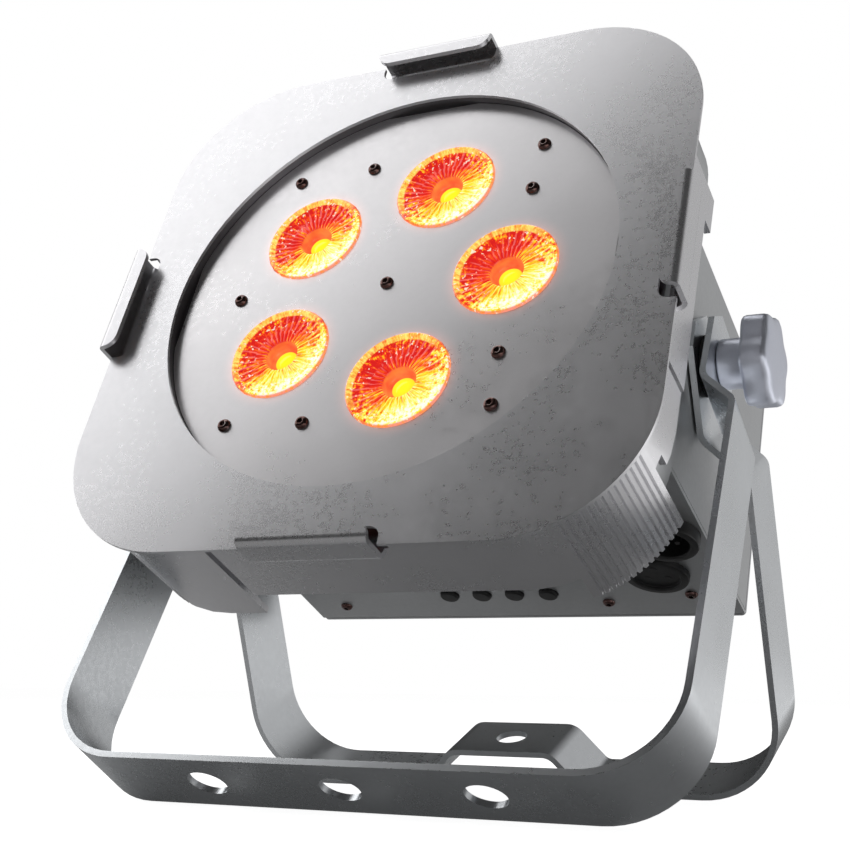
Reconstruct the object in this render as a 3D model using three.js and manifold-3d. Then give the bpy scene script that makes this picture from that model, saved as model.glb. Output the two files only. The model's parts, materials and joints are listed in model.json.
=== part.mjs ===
// Par can light on a scissor yoke, in millimetres, +Z up, front facing -Y, both yokes standing on the
// ground. The head is drawn in its own frame: x to the right, y up the face, z out of the face, z = 0 on
// the face plate.
// A yoke is drawn with x to the right, y up the arms and z across the bar, the pivot at the origin.
import * as THREE from "three";
import { mergeVertices } from "three/addons/utils/BufferGeometryUtils.js";
import Module from "manifold-3d";

const wasm = await Module();
wasm.setup();

const GAP = 0.3;

// Stance: how far each piece leans from upright, in degrees.
const HEAD_TILT = 24.4;
const FRONT_LEAN = 31.5;
const REAR_LEAN = -20.0;

// Face plate and the round recess behind it.
const PLATE_HALF = 125;
const PLATE_CORNER = 57;
const PLATE_THICK = 1.5;
const OPENING_RADIUS = 99.4;
const RING_RADIUS = 99.8;
const RING_WALL = 1.8;
const RING_DEPTH = 6.6;
const RING_FOOT = 92;
const PANEL_Z = -5;
const PANEL_THICK = 1.5;
const PANEL_FLAT = 97;

// Lenses in a ring of five, with screws between them.
const LENS_RING = 52;
const LENS_RADIUS = 22;
const LENS_ANGLES = [72, 0, -72, -144, 144];
const LENS_DEPTH = 16.5;
const LENS_BORE = 8;
const SCREW_RING = 70;
const SCREW_ANGLES = [108, 36, -36, -108, 180];
const CORNER_SCREW = [58, 65];
const SCREW_HEAD = 2.9;
const SCREW_SHANK = 1.4;

// Board behind the lenses, and the heat sink behind the board.
const BOARD_RADIUS = 80;
const BOARD_BACK = -30;
const BOARD_THICK = 1.6;
const SINK_HALF = 74;
const FIN_COUNT = 15;
const FIN_THICK = 2.4;
const FIN_ROOT = -34.4;
const FIN_BACK = -41.4;

// Side shell: four equal pieces, each one flat side and one fluted corner.
const SHELL_HALF = 121.5;
const SHELL_CORNER = 54;
const SHELL_WALL = 2.5;
const SHELL_BACK = -57;
const LEVEL_FLAT_BACK = -42;
const SIDE_FLAT_BACK = -30;
const SIDE_STEP = { from: 35, back: -38 };
const FLAT_STOP = 88;
const UPPER_CORNER = { from: 52, back: -10 };
const END_BACK = -27;
const END_NOTCH = { from: -86.5, to: -81, back: -20.5 };
const SHELL_START = -47.6;
const SHELL_END = -50.4;
const FLUTE_COUNT = 14;
const FLUTE_FROM = -64;
const FLUTE_STEP = 3;
const FLUTE_DEPTH = 1.1;

// Spring clip standing at the middle of each side.
const CLIP_HALF = 27;
const CLIP_SHEET = 2;
const CLIP_STAND_OFF = 0.6;
const CLIP_TOP = 7.7;
const CLIP_LIP = 5.5;
const CLIP_CORNER = 6;
const NOTCH_HALF = 27.5;
const NOTCH_DEPTH = 7.5;
const NOTCH_CORNER = 4.5;
const NOTCH_BACK = -9;

// Back plate, a tray inside the shell.
const TRAY_HALF = 116;
const TRAY_CORNER = 48.5;
const TRAY_WALL = 1.5;
const TRAY_BACK = -43.5;
const TRAY_RIM = -12;
const CABLE_HOLE_X = 95;
const CABLE_HOLE_RADIUS = 5;

// Rear box, centred behind the face.
const BOX_HALF_X = 107.5;
const BOX_HALF_Y = 58;
const BOX_WALL = 2;
const BOX_FRONT = -43.9;
const BOX_BACK = -187;
const COVER_THICK = 1.7;

// Blocks inside the box, each from x to x, from y to y and from z to z.
const BATTERY_PACK = [-72, 72, -14, 40, -172, -104];
const DRIVER_BOARD = [-90, 90, -41.2, -39.6, -176, -58];

// Pivot: where it sits in the head frame and what is stacked on it along x.
const PIVOT_Y = 4.2;
const PIVOT_Z = -84.5;
const BOLT_RADIUS = 5;
const BOLT_HEAD = 8.5;
const BOLT_HEAD_LENGTH = 7;
const BAR_THICK = 2.6;
const BAR_WIDTH = 35;
const REAR_ARM_TOP = 108.2;
const WASHER_X = 111.1;
const WASHER_THICK = 3;
const WASHER_RADIUS = 13;
const FRONT_ARM_TOP = 114.4;
const KNOB_X = 117.3;
const COLLAR_LENGTH = 11;
const COLLAR_RADIUS = 10.5;
const BOLT_END = KNOB_X + 18;
const KNOB_LENGTH = 12;
const KNOB_RADIUS = 20.3;
const KNOB_LOBES = 6;
const LOBE_DEPTH = 2.6;
const LOBE_TURN = 6;

// Yoke bars: inner face of the arms, distance from pivot to the underside of the base.
const FRONT_ARM_X = 128.2;
const FRONT_LENGTH = 198;
const REAR_ARM_X = 125.3;
const REAR_LENGTH = 183;
const BASE_BEND = 36;
const JOGGLE_BEND = 7;
const ARM_END = 20;
const ARM_END_CUT = 9;
const FRONT_JOGGLE = -20.5;
const REAR_JOGGLE = -27;
const HAT_HALF = 24;
const HAT_SLOPE = 14;
const HAT_RISE = 16.5;

// The front yoke stands on the rear edge of its base.
const radians = THREE.MathUtils.degToRad;
const PIVOT_HEIGHT =
  FRONT_LENGTH * Math.cos(radians(FRONT_LEAN)) + (BAR_WIDTH / 2) * Math.sin(radians(FRONT_LEAN));

// ---------------------------------------------------------------- solids

function toSolid(geometry) {
  const bare = geometry.clone();
  bare.deleteAttribute("normal");
  bare.deleteAttribute("uv");
  const merged = mergeVertices(bare, 1e-4);
  const triangles = new Uint32Array(merged.index.array);
  const positions = new Float32Array(merged.attributes.position.array);
  const solid = new wasm.Manifold(
    new wasm.Mesh({ numProp: 3, vertProperties: positions, triVerts: triangles }),
  );
  if (solid.volume() > 0) return solid;
  for (let i = 0; i < triangles.length; i += 3) {
    [triangles[i], triangles[i + 1]] = [triangles[i + 1], triangles[i]];
  }
  return new wasm.Manifold(
    new wasm.Mesh({ numProp: 3, vertProperties: positions, triVerts: triangles }),
  );
}

function toGeometry(solid) {
  const mesh = solid.getMesh();
  const geometry = new THREE.BufferGeometry();
  geometry.setAttribute("position", new THREE.BufferAttribute(new Float32Array(mesh.vertProperties), 3));
  geometry.setIndex(new THREE.BufferAttribute(new Uint32Array(mesh.triVerts), 1));
  geometry.computeVertexNormals();
  return geometry;
}

function shapeOf(points) {
  return new THREE.Shape(points.map(([x, y]) => new THREE.Vector2(x, y)));
}

function roundedRectangle(halfX, halfY, radius) {
  const shape = new THREE.Shape();
  shape.moveTo(halfX, -halfY + radius);
  shape.lineTo(halfX, halfY - radius);
  shape.absarc(halfX - radius, halfY - radius, radius, 0, Math.PI / 2);
  shape.lineTo(-halfX + radius, halfY);
  shape.absarc(-halfX + radius, halfY - radius, radius, Math.PI / 2, Math.PI);
  shape.lineTo(-halfX, -halfY + radius);
  shape.absarc(-halfX + radius, -halfY + radius, radius, Math.PI, 1.5 * Math.PI);
  shape.lineTo(halfX - radius, -halfY);
  shape.absarc(halfX - radius, -halfY + radius, radius, 1.5 * Math.PI, 2 * Math.PI);
  return shape;
}

function prism(shape, from, to, curveSegments = 14) {
  const settings = { depth: to - from, bevelEnabled: false, curveSegments };
  const geometry = new THREE.ExtrudeGeometry(shape, settings);
  return toSolid(geometry.translate(0, 0, from));
}

function box(x0, x1, y0, y1, z0, z1) {
  const geometry = new THREE.BoxGeometry(x1 - x0, y1 - y0, z1 - z0);
  return toSolid(geometry.translate((x0 + x1) / 2, (y0 + y1) / 2, (z0 + z1) / 2));
}

function turned(profile, x, y, z, segments) {
  const points = profile.map(([radius, height]) => new THREE.Vector2(radius, height));
  const geometry = new THREE.LatheGeometry(points, segments).rotateX(Math.PI / 2);
  return toSolid(geometry.translate(x, y, z));
}

function disc(radius, x, y, z0, z1, segments = 24) {
  return turned([[0, z0], [radius, z0], [radius, z1], [0, z1]], x, y, 0, segments);
}

// A turned piece whose axis runs along x; profile heights are distances from the middle plane.
function turnedAlongX(profile, side, y, z, segments) {
  const points = profile.map(([radius, height]) => new THREE.Vector2(radius, height));
  const geometry = new THREE.LatheGeometry(points, segments).rotateZ(-side * Math.PI / 2);
  return toSolid(geometry.translate(0, y, z));
}

// A turned piece pointing down out of the control panel.
function turnedDown(profile, x, z, segments) {
  const points = profile.map(([radius, height]) => new THREE.Vector2(radius, height));
  const geometry = new THREE.LatheGeometry(points, segments).rotateX(Math.PI);
  return toSolid(geometry.translate(x, -BOX_HALF_Y, z));
}

// Rounds the inner corners of an open polyline; each corner is [x, y, bend radius].
function filleted(points, steps) {
  const result = [points[0].slice(0, 2)];
  for (let i = 1; i < points.length - 1; i++) {
    const corner = new THREE.Vector2(points[i][0], points[i][1]);
    const into = corner.clone().sub(new THREE.Vector2(points[i - 1][0], points[i - 1][1])).normalize();
    const out = new THREE.Vector2(points[i + 1][0], points[i + 1][1]).sub(corner).normalize();
    const turn = Math.atan2(into.cross(out), into.dot(out));
    const radius = points[i][2];
    const reach = radius * Math.tan(Math.abs(turn) / 2);
    const start = corner.clone().sub(into.clone().multiplyScalar(reach));
    const towards = new THREE.Vector2(-into.y, into.x).multiplyScalar(Math.sign(turn) * radius);
    const centre = start.clone().add(towards);
    const count = Math.max(2, Math.round((steps * Math.abs(turn)) / (Math.PI / 2)));
    for (let k = 0; k <= count; k++) {
      const spoke = towards.clone().negate().rotateAround(new THREE.Vector2(), (turn * k) / count);
      result.push([centre.x + spoke.x, centre.y + spoke.y]);
    }
  }
  result.push(points[points.length - 1].slice(0, 2));
  return result;
}

// Outline of a strip of sheet whose right-hand face follows the path.
function strip(path, thickness) {
  const left = [];
  for (let i = 0; i < path.length; i++) {
    const before = new THREE.Vector2(...path[Math.max(i - 1, 0)]);
    const here = new THREE.Vector2(...path[i]);
    const after = new THREE.Vector2(...path[Math.min(i + 1, path.length - 1)]);
    const into = i > 0 ? here.clone().sub(before).normalize() : after.clone().sub(here).normalize();
    const out = i < path.length - 1 ? after.clone().sub(here).normalize() : into.clone();
    const normal = new THREE.Vector2(-(into.y + out.y), into.x + out.x).normalize();
    const stretch = 1 / Math.max(normal.dot(new THREE.Vector2(-into.y, into.x)), 0.5);
    left.push([here.x + normal.x * thickness * stretch, here.y + normal.y * thickness * stretch]);
  }
  return shapeOf([...path, ...left.reverse()]);
}

// ---------------------------------------------------------------- face of the head

// One notch per side, open at the plate's edge, with rounded inner corners.
function clipNotches(z0, z1) {
  const near = -PLATE_HALF + NOTCH_DEPTH;
  const far = -PLATE_HALF - 5;
  const middle = (near + far) / 2;
  const shape = roundedRectangle(NOTCH_HALF, (near - far) / 2, NOTCH_CORNER);
  const notch = prism(shape, z0, z1, 6).translate([0, middle, 0]);
  return [1, 2, 3].reduce((all, turns) => all.add(notch.rotate([0, 0, 90 * turns])), notch);
}

function facePlate() {
  const shape = roundedRectangle(PLATE_HALF, PLATE_HALF, PLATE_CORNER);
  const sheet = prism(shape, -PLATE_THICK, 0, 24);
  const opening = disc(OPENING_RADIUS, 0, 0, -5, 5, 96);
  return sheet.subtract(opening).subtract(clipNotches(-5, 5));
}

// The recess wall, with a flange against the plate and a foot that the lens panel lies on.
function recessRing() {
  const top = -PLATE_THICK - GAP;
  const foot = PANEL_Z - PANEL_THICK - GAP;
  const inner = RING_RADIUS;
  return turned(
    [
      [inner, top],
      [inner, foot],
      [RING_FOOT, foot],
      [RING_FOOT, top - RING_DEPTH],
      [inner + RING_WALL, top - RING_DEPTH],
      [inner + RING_WALL, top - 1.5],
      [inner + 9, top - 1.5],
      [inner + 9, top],
      [inner, top],
    ],
    0, 0, 0, 96,
  );
}

function onCircle(radius, degrees) {
  return [radius * Math.cos(radians(degrees)), radius * Math.sin(radians(degrees))];
}

const lensCentres = LENS_ANGLES.map((angle) => onCircle(LENS_RING, angle));
const ringScrews = SCREW_ANGLES.map((angle) => onCircle(SCREW_RING, angle));
const cornerScrews = [[-1, 1], [1, 1], [-1, -1], [1, -1]].map(([sx, sy]) => [
  sx * CORNER_SCREW[0],
  sy * CORNER_SCREW[1],
]);
const screwCentres = [...ringScrews, ...cornerScrews, [0, 0]];

function lensPanel() {
  const flats = roundedRectangle(PANEL_FLAT, PANEL_FLAT, 4);
  const bottom = PANEL_Z - PANEL_THICK;
  const round = disc(RING_RADIUS - GAP, 0, 0, bottom, PANEL_Z, 96);
  let panel = round.intersect(prism(flats, bottom - 1, PANEL_Z + 1));
  for (const [x, y] of lensCentres) {
    panel = panel.subtract(disc(LENS_RADIUS + GAP, x, y, -20, 0, 24));
  }
  for (const [x, y] of screwCentres) {
    panel = panel.subtract(disc(SCREW_SHANK + GAP, x, y, -20, 0, 10));
  }
  return panel;
}

function lens(x, y) {
  const rim = PANEL_Z + 1;
  return turned(
    [
      [0, rim - 9],
      [LENS_BORE, rim - 9],
      [LENS_BORE + 0.6, rim - 1],
      [LENS_RADIUS - 2.2, rim - 1],
      [LENS_RADIUS - 1.6, rim],
      [LENS_RADIUS, rim],
      [LENS_RADIUS, rim - 3.5],
      [LENS_RADIUS - 3, rim - 6],
      [9.5, rim - LENS_DEPTH],
      [0, rim - LENS_DEPTH],
    ],
    x, y, 0, 24,
  );
}

function emitter(x, y) {
  return turned([[0, -28.1], [4.5, -28.1], [4.5, -27], [2.8, -25.4], [0, -24.8]], x, y, 0, 16);
}

function faceScrew(x, y) {
  const seat = PANEL_Z + 0.15;
  return turned(
    [
      [0, seat + 1.7],
      [1.9, seat + 1.5],
      [SCREW_HEAD, seat],
      [SCREW_SHANK, seat],
      [SCREW_SHANK, seat - 7],
      [0, seat - 7],
    ],
    x, y, 0, 12,
  );
}

function ledBoard() {
  return disc(BOARD_RADIUS, 0, 0, BOARD_BACK, BOARD_BACK + BOARD_THICK, 40);
}

function heatSink() {
  const half = SINK_HALF;
  const front = BOARD_BACK - GAP;
  const pitch = (2 * half) / FIN_COUNT;
  const points = [[-half, front], [-half, FIN_BACK]];
  for (let i = 0; i < FIN_COUNT; i++) {
    const x = -half + i * pitch;
    if (i > 0) points.push([x, FIN_BACK]);
    points.push([x + FIN_THICK, FIN_BACK], [x + FIN_THICK, FIN_ROOT]);
    if (i < FIN_COUNT - 1) points.push([x + pitch, FIN_ROOT]);
  }
  points.push([half, FIN_ROOT], [half, front]);
  const geometry = new THREE.ExtrudeGeometry(shapeOf(points), { depth: 2 * half, bevelEnabled: false });
  geometry.rotateX(Math.PI / 2);
  return toSolid(geometry.translate(0, half, 0));
}

// ---------------------------------------------------------------- side shell

function shellOutline() {
  const outer = SHELL_HALF;
  const inner = SHELL_HALF - SHELL_WALL;
  const centre = SHELL_HALF - SHELL_CORNER;
  const tongue = inner - 0.6;
  const points = [[SHELL_START - 8, -tongue], [SHELL_START, -tongue], [SHELL_START, -outer]];
  const arc = (radius, from, to, steps) => {
    for (let k = 0; k <= steps; k++) {
      const angle = radians(from + ((to - from) * k) / steps);
      points.push([centre + radius * Math.cos(angle), -centre + radius * Math.sin(angle)]);
    }
  };
  arc(SHELL_CORNER, -90, FLUTE_FROM, 4);
  for (let k = 0; k < FLUTE_COUNT; k++) {
    const start = FLUTE_FROM + k * FLUTE_STEP;
    arc(SHELL_CORNER - FLUTE_DEPTH, start + FLUTE_STEP * 0.17, start + FLUTE_STEP * 0.33, 1);
    arc(SHELL_CORNER, start + FLUTE_STEP * 0.5, start + FLUTE_STEP, 1);
  }
  arc(SHELL_CORNER, FLUTE_FROM + FLUTE_COUNT * FLUTE_STEP + 2, 0, 2);
  points.push([outer, SHELL_END], [inner, SHELL_END]);
  arc(SHELL_CORNER - SHELL_WALL, 0, -90, 10);
  points.push([SHELL_START + 3, -inner], [SHELL_START + 3, -tongue + 2]);
  points.push([SHELL_START - 8, -tongue + 2]);
  return shapeOf(points);
}

// Sheet clip bent out of the wall: up past the plate edge, then a lip over the face with rounded corners.
// It is drawn in (y, z).
function clip() {
  const wall = SHELL_HALF - SHELL_WALL + 0.2;
  const riser = PLATE_HALF + CLIP_STAND_OFF;
  const path = [
    [-wall, -18],
    [-wall, NOTCH_BACK - 1, 2],
    [-riser, NOTCH_BACK + 3.5, 2],
    [-riser, CLIP_TOP - CLIP_SHEET, 1],
    [-PLATE_HALF + CLIP_LIP, CLIP_TOP - CLIP_SHEET],
  ];
  const shape = strip(filleted(path, 8), CLIP_SHEET);
  const geometry = new THREE.ExtrudeGeometry(shape, { depth: 2 * CLIP_HALF, bevelEnabled: false });
  geometry.translate(0, 0, -CLIP_HALF);
  const basis = new THREE.Matrix4().makeBasis(
    new THREE.Vector3(0, 1, 0),
    new THREE.Vector3(0, 0, 1),
    new THREE.Vector3(1, 0, 0),
  );
  const sheet = toSolid(geometry.applyMatrix4(basis));
  const outline = roundedRectangle(CLIP_HALF, 20, CLIP_CORNER);
  const rounding = prism(outline, -30, 30, 8).translate([0, -PLATE_HALF + CLIP_LIP - 20, 0]);
  return sheet.intersect(rounding);
}

// A block that shortens the bottom wall from x0 to x1, so that its rear edge lies at the given depth.
function wallCut(x0, x1, back) {
  return box(x0, x1, -SHELL_HALF - 5, -SHELL_HALF + 10, SHELL_BACK - 5, back);
}

// The same for the end of a piece, which lies on the next wall.
function endCut(y0, y1, back) {
  return box(SHELL_HALF - 15, SHELL_HALF + 5, y0, y1, SHELL_BACK - 5, back);
}

// The two lower corners are deep and the two upper ones are a short skirt. The walls at the left and right
// are shallower than those at the top and bottom, to clear the yoke arms, and so are the ends that reach
// onto them.
function shellPiece(quarterTurns) {
  const top = -PLATE_THICK - GAP;
  const onSide = quarterTurns % 2 === 1;
  const upperCorner = quarterTurns === 1 || quarterTurns === 2;
  const window = box(-NOTCH_HALF, NOTCH_HALF, -SHELL_HALF - 5, -SHELL_HALF + 6, NOTCH_BACK, 5);
  let piece = prism(shellOutline(), SHELL_BACK, top).subtract(window);
  if (onSide) {
    piece = piece.subtract(wallCut(SHELL_START - 20, SHELL_START, END_BACK + GAP));
    piece = piece.subtract(wallCut(SHELL_START, SIDE_STEP.from, SIDE_FLAT_BACK));
    piece = piece.subtract(wallCut(SIDE_STEP.from - 1, FLAT_STOP, SIDE_STEP.back));
  } else {
    piece = piece.subtract(wallCut(SHELL_START - 20, FLAT_STOP, LEVEL_FLAT_BACK));
    piece = piece.subtract(endCut(END_NOTCH.to - 1, SHELL_END + 1, END_BACK));
    piece = piece.subtract(endCut(END_NOTCH.from, END_NOTCH.to, END_NOTCH.back));
  }
  if (upperCorner) {
    const { from, back } = UPPER_CORNER;
    const rear = box(from, SHELL_HALF + 5, -SHELL_HALF - 5, SHELL_END + 1, SHELL_BACK - 5, back);
    piece = piece.subtract(rear);
  }
  return piece.add(clip()).rotate([0, 0, 90 * quarterTurns]);
}

// ---------------------------------------------------------------- rear box

// A shallow tray: its rim stands inside the shell and closes the gap behind the short walls.
function backPlate() {
  const outline = roundedRectangle(TRAY_HALF, TRAY_HALF, TRAY_CORNER);
  const inner = TRAY_HALF - TRAY_WALL;
  const inside = roundedRectangle(inner, inner, TRAY_CORNER - TRAY_WALL);
  const hollow = prism(inside, TRAY_BACK + TRAY_WALL, TRAY_RIM + 1, 8);
  let plate = prism(outline, TRAY_BACK, TRAY_RIM, 8).subtract(hollow);
  for (const x of [-CABLE_HOLE_X, CABLE_HOLE_X]) {
    plate = plate.subtract(disc(CABLE_HOLE_RADIUS, x, 0, TRAY_BACK - 10, TRAY_BACK + 10, 16));
  }
  return plate;
}

function boxShell() {
  const x = BOX_HALF_X;
  const top = BOX_HALF_Y;
  const low = -BOX_HALF_Y + COVER_THICK + GAP;
  const shape = shapeOf([
    [-x, low], [-x + BOX_WALL, low], [-x + BOX_WALL, top - BOX_WALL], [x - BOX_WALL, top - BOX_WALL],
    [x - BOX_WALL, low], [x, low], [x, top], [-x, top],
  ]);
  let shell = prism(shape, BOX_BACK + COVER_THICK + GAP, BOX_FRONT);
  const bore = BOLT_RADIUS + GAP;
  for (const side of [-1, 1]) {
    const drill = turnedAlongX([[0, 90], [bore, 90], [bore, 120], [0, 120]], side, PIVOT_Y, PIVOT_Z, 20);
    shell = shell.subtract(drill);
  }
  return shell;
}

const buttonXs = [-27.4, -10.8, 5.6, 22.4];
const BUTTON_Z = -163;
const BUTTON_RADIUS = 4.4;
const BUTTON_TRAVEL = 0.8;
const DATA_OUT = [78.5, -146];
const DATA_IN = [92, -113];
const POWER_IN = [-80, -115];
const SWITCH = { x: -42, z: -112, halfX: 9.8, halfZ: 6.8, gap: 0.5 };
const SOCKET_RADIUS = 12;
const SOCKET_FLANGE = 14.3;
const panelScrews = [[-87.8, -172.5], [48.4, -172.3], [88.4, -166]];
const DISPLAY = { x: -62, z: -150, halfX: 19, halfZ: 9, gap: GAP };

function downHole(radius, x, z, segments = 20) {
  return turnedDown([[0, -8], [radius, -8], [radius, 8], [0, 8]], x, z, segments);
}

function controlPanel() {
  const y = -BOX_HALF_Y;
  let panel = box(-BOX_HALF_X, BOX_HALF_X, y, y + COVER_THICK, BOX_BACK + COVER_THICK + GAP, BOX_FRONT);
  for (const x of buttonXs) panel = panel.subtract(downHole(BUTTON_RADIUS + GAP, x, BUTTON_Z));
  for (const [x, z] of [DATA_OUT, DATA_IN, POWER_IN]) {
    panel = panel.subtract(downHole(SOCKET_RADIUS + GAP, x, z, 28));
  }
  for (const [x, z] of panelScrews) panel = panel.subtract(downHole(SCREW_SHANK + GAP, x, z, 12));
  for (const { x, z, halfX, halfZ, gap } of [DISPLAY, SWITCH]) {
    const [wide, tall] = [halfX + gap, halfZ + gap];
    panel = panel.subtract(box(x - wide, x + wide, y - 5, y + 8, z - tall, z + tall));
  }
  return panel;
}

function rearCover() {
  const shape = roundedRectangle(BOX_HALF_X, BOX_HALF_Y, 2);
  let cover = prism(shape, BOX_BACK, BOX_BACK + COVER_THICK, 3);
  for (const row of [-1.5, -0.5, 0.5, 1.5]) {
    const slot = roundedRectangle(2, 16, 1.9);
    for (const column of [-1, 1]) {
      cover = cover.subtract(prism(slot, -10, 10, 3).translate([column * 55 + row * 10, 0, BOX_BACK]));
    }
  }
  return cover;
}

function displayWindow() {
  const { x, z, halfX, halfZ } = DISPLAY;
  return box(x - halfX, x + halfX, -BOX_HALF_Y + 0.2, -BOX_HALF_Y + 5, z - halfZ, z + halfZ);
}

function button(x) {
  return turnedDown(
    [[0, 1.8], [BUTTON_RADIUS - 0.6, 1.8], [BUTTON_RADIUS, 1.2], [BUTTON_RADIUS, -4], [0, -4]],
    x, BUTTON_Z, 20,
  );
}

function socket([x, z], stand) {
  return turnedDown(
    [
      [0, stand], [SOCKET_FLANGE - 1.2, stand], [SOCKET_FLANGE, stand - 1], [SOCKET_FLANGE, GAP],
      [SOCKET_RADIUS, GAP], [SOCKET_RADIUS, -14], [0, -14],
    ],
    x, z, 28,
  );
}

function panelScrew([x, z]) {
  return turnedDown(
    [[0, 1.9], [1.9, 1.7], [SCREW_HEAD, 0.15], [SCREW_SHANK, 0.15], [SCREW_SHANK, -7], [0, -7]],
    x, z, 14,
  );
}

function rocker() {
  const y = -BOX_HALF_Y;
  const { x, z, halfX, halfZ } = SWITCH;
  const shape = shapeOf([
    [-halfZ, y + 3], [-halfZ, y - 2.6], [-3, y - 1.2], [3, y - 1.2], [halfZ, y - 0.2], [halfZ, y + 3],
  ]);
  const geometry = new THREE.ExtrudeGeometry(shape, { depth: 2 * halfX, bevelEnabled: false });
  geometry.rotateY(Math.PI / 2);
  return toSolid(geometry.translate(x - halfX, 0, z));
}

function cable() {
  const path = new THREE.CatmullRomCurve3([
    new THREE.Vector3(-60, -37.5, -95),
    new THREE.Vector3(-72, -22, -78),
    new THREE.Vector3(-90, -6, -62),
    new THREE.Vector3(-95, 0, -50),
    new THREE.Vector3(-95, 0, -38),
    new THREE.Vector3(-92, 0, -31),
    new THREE.Vector3(-84, 0, -29.2),
  ]);
  const circle = new THREE.Shape().absarc(0, 0, 2, 0, 2 * Math.PI);
  const geometry = new THREE.ExtrudeGeometry(circle, { steps: 18, extrudePath: path, curveSegments: 5 });
  return toSolid(geometry);
}

// ---------------------------------------------------------------- pivot hardware

function bolt(side) {
  const seat = BOX_HALF_X - BOX_WALL - GAP;
  const back = seat - BOLT_HEAD_LENGTH;
  const profile = [
    [0, back], [BOLT_HEAD, back], [BOLT_HEAD, seat],
    [BOLT_RADIUS, seat], [BOLT_RADIUS, BOLT_END], [0, BOLT_END],
  ];
  return turnedAlongX(profile, side, PIVOT_Y, PIVOT_Z, 20);
}

function washer(side) {
  const profile = [
    [BOLT_RADIUS + GAP, WASHER_X], [WASHER_RADIUS, WASHER_X], [WASHER_RADIUS, WASHER_X + WASHER_THICK],
    [BOLT_RADIUS + GAP, WASHER_X + WASHER_THICK], [BOLT_RADIUS + GAP, WASHER_X],
  ];
  return turnedAlongX(profile, side, 0, 0, 24);
}

function knob(side) {
  const points = [];
  const steps = KNOB_LOBES * 12;
  for (let k = 0; k < steps; k++) {
    const angle = (2 * Math.PI * k) / steps;
    const radius = KNOB_RADIUS - LOBE_DEPTH * (0.5 - 0.5 * Math.cos(KNOB_LOBES * angle));
    const turned = angle + radians(LOBE_TURN);
    points.push([radius * Math.cos(turned), radius * Math.sin(turned)]);
  }
  const start = KNOB_X + COLLAR_LENGTH;
  const head = new THREE.ExtrudeGeometry(shapeOf(points), { depth: KNOB_LENGTH, bevelEnabled: false });
  head.translate(0, 0, start).rotateY(side * Math.PI / 2);
  const edge = COLLAR_RADIUS;
  const outline = [[0, KNOB_X], [edge, KNOB_X], [edge, start + 1], [0, start + 1]];
  const collar = turnedAlongX(outline, side, 0, 0, 24);
  const bore = turnedAlongX(
    [
      [0, KNOB_X - 5], [BOLT_RADIUS + GAP, KNOB_X - 5],
      [BOLT_RADIUS + GAP, BOLT_END + 0.5], [0, BOLT_END + 0.5],
    ],
    side, 0, 0, 20,
  );
  return toSolid(head).add(collar).subtract(bore);
}

// ---------------------------------------------------------------- yokes

// Half of the bar, from the middle of the base to the top of the arm, as the path of its outer face.
function halfPath({ topX, armX, joggleFrom, length, hat }) {
  const outer = armX + BAR_THICK;
  const topOuter = topX + BAR_THICK;
  const joggle = outer - topOuter;
  const hatTop = [HAT_HALF, -length + HAT_RISE, JOGGLE_BEND];
  const hatFoot = [HAT_HALF + HAT_SLOPE, -length, JOGGLE_BEND];
  const path = hat ? [hatTop, hatFoot] : [];
  path.push(
    [outer, -length, BASE_BEND],
    [outer, joggleFrom - joggle, JOGGLE_BEND],
    [topOuter, joggleFrom, JOGGLE_BEND],
    [topOuter, ARM_END],
  );
  return path;
}

function yoke(bend) {
  const { armX, length, holes } = bend;
  const right = halfPath(bend);
  const left = right.map(([x, ...rest]) => [-x, ...rest]).reverse();
  const bar = prism(strip(filleted([...left, ...right], 14), BAR_THICK), -BAR_WIDTH / 2, BAR_WIDTH / 2);
  const cut = ARM_END_CUT;
  const half = BAR_WIDTH / 2;
  const profile = shapeOf([
    [-half, -length - 5], [half, -length - 5], [half, ARM_END - cut],
    [half - cut, ARM_END], [-half + cut, ARM_END], [-half, ARM_END - cut],
  ]);
  const trim = new THREE.ExtrudeGeometry(profile, { depth: 2 * armX + 20, bevelEnabled: false });
  trim.translate(0, 0, -armX - 10).rotateY(Math.PI / 2);
  let body = bar.intersect(toSolid(trim));
  for (const side of [-1, 1]) {
    const bore = [[0, 90], [BOLT_RADIUS + GAP, 90], [BOLT_RADIUS + GAP, 122], [0, 122]];
    body = body.subtract(turnedAlongX(bore, side, 0, 0, 20));
  }
  for (const [x, radius] of holes) {
    const drill = new THREE.CylinderGeometry(radius, radius, 60, 28).translate(x, -length, 0);
    body = body.subtract(toSolid(drill));
  }
  return body;
}

// ---------------------------------------------------------------- assembly

const materials = {
  pearl: { color: 0xd3d5d6, metalness: 0.5, roughness: 0.4 },
  bar: { color: 0xb2b5b8, metalness: 0.6, roughness: 0.4 },
  grey: { color: 0x9a9c9e, metalness: 0.6, roughness: 0.45 },
  dark: { color: 0x47464a, metalness: 0.6, roughness: 0.5 },
  black: { color: 0x141416, metalness: 0, roughness: 0.6 },
  screw: { color: 0x3c3632, metalness: 0.8, roughness: 0.4 },
  lens: { color: 0xdfe6ea, metalness: 0, roughness: 0.1 },
  emitter: { color: 0xe8c23a, metalness: 0, roughness: 0.4 },
  board: { color: 0xdedfdc, metalness: 0.1, roughness: 0.6 },
  circuit: { color: 0x1c5a34, metalness: 0.1, roughness: 0.5 },
  aluminium: { color: 0xa8aaac, metalness: 0.9, roughness: 0.4 },
  battery: { color: 0x2f5f9a, metalness: 0, roughness: 0.5 },
  knob: { color: 0xb9bcc6, metalness: 0.1, roughness: 0.5 },
};

// A group whose y axis leans back by the given angle about the pivot line.
function leaningGroup(degrees) {
  const group = new THREE.Group();
  group.position.set(0, 0, PIVOT_HEIGHT);
  group.rotation.x = Math.PI / 2 - radians(degrees);
  return group;
}

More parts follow.
